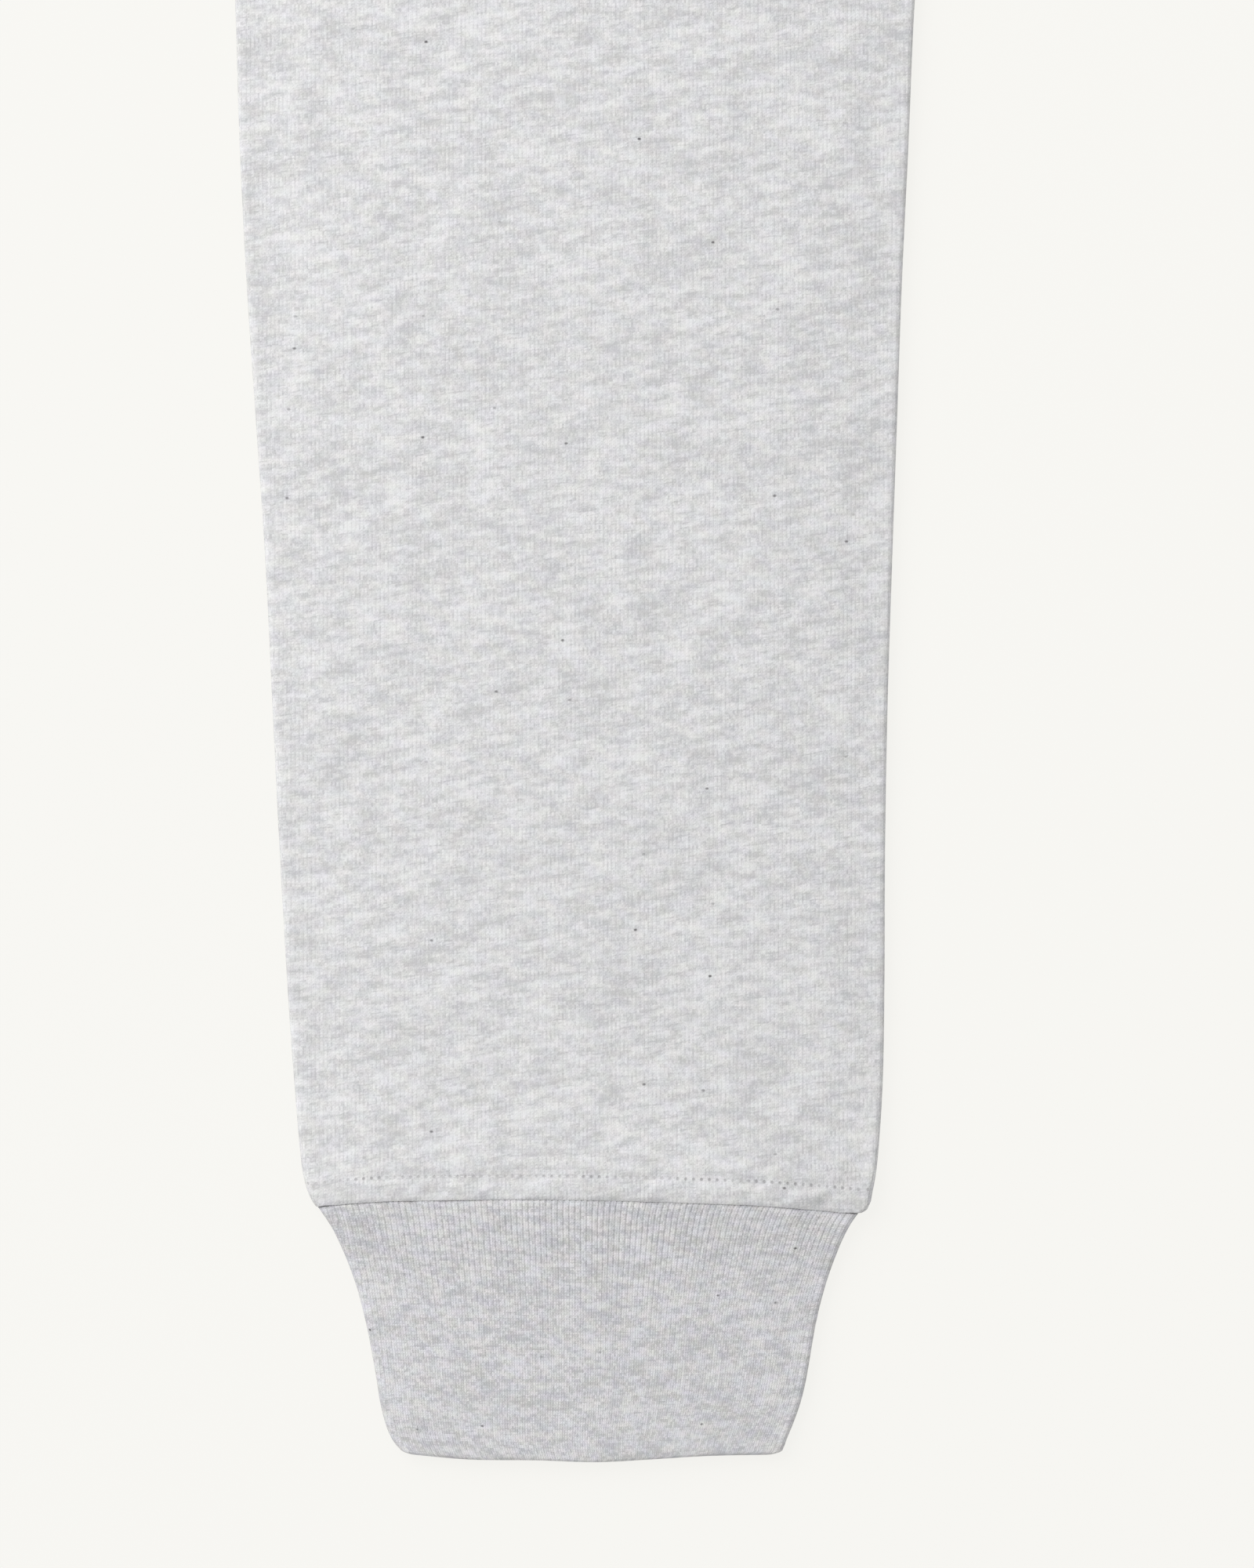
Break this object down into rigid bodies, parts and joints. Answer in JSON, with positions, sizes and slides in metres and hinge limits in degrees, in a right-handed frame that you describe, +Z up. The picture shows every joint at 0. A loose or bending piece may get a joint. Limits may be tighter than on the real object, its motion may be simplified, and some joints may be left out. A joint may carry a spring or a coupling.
{
  "type": "jogger sweatpants",
  "caption": "Heavy fleece jogger sweatpants laid out flat with the front up: gathered elastic waistband, tapered legs and ribbed ankle cuffs.",
  "frame": {"origin": "on the surface that the garment lies on, under the middle of its outline", "axes": "+Y from the ankle cuffs to the waistband, +Z up from the surface out of the garment's front, +X towards the wearer's left leg, which is on the right as seen from above"},
  "size_m": [0.5442, 1.01, 0.0098],
  "materials": {
    "fleece": "pale heather grey brushed fleece, soft and matt",
    "rib": "pale heather grey one by one rib knit, matt"
  },
  "bodies": {
    "root": {"front_right_leg": "fleece", "front_left_leg": "fleece", "back_right_leg": "fleece", "back_left_leg": "fleece", "waistband": "fleece", "cuff_right": "rib", "cuff_left": "rib"}
  },
  "joints": []
}
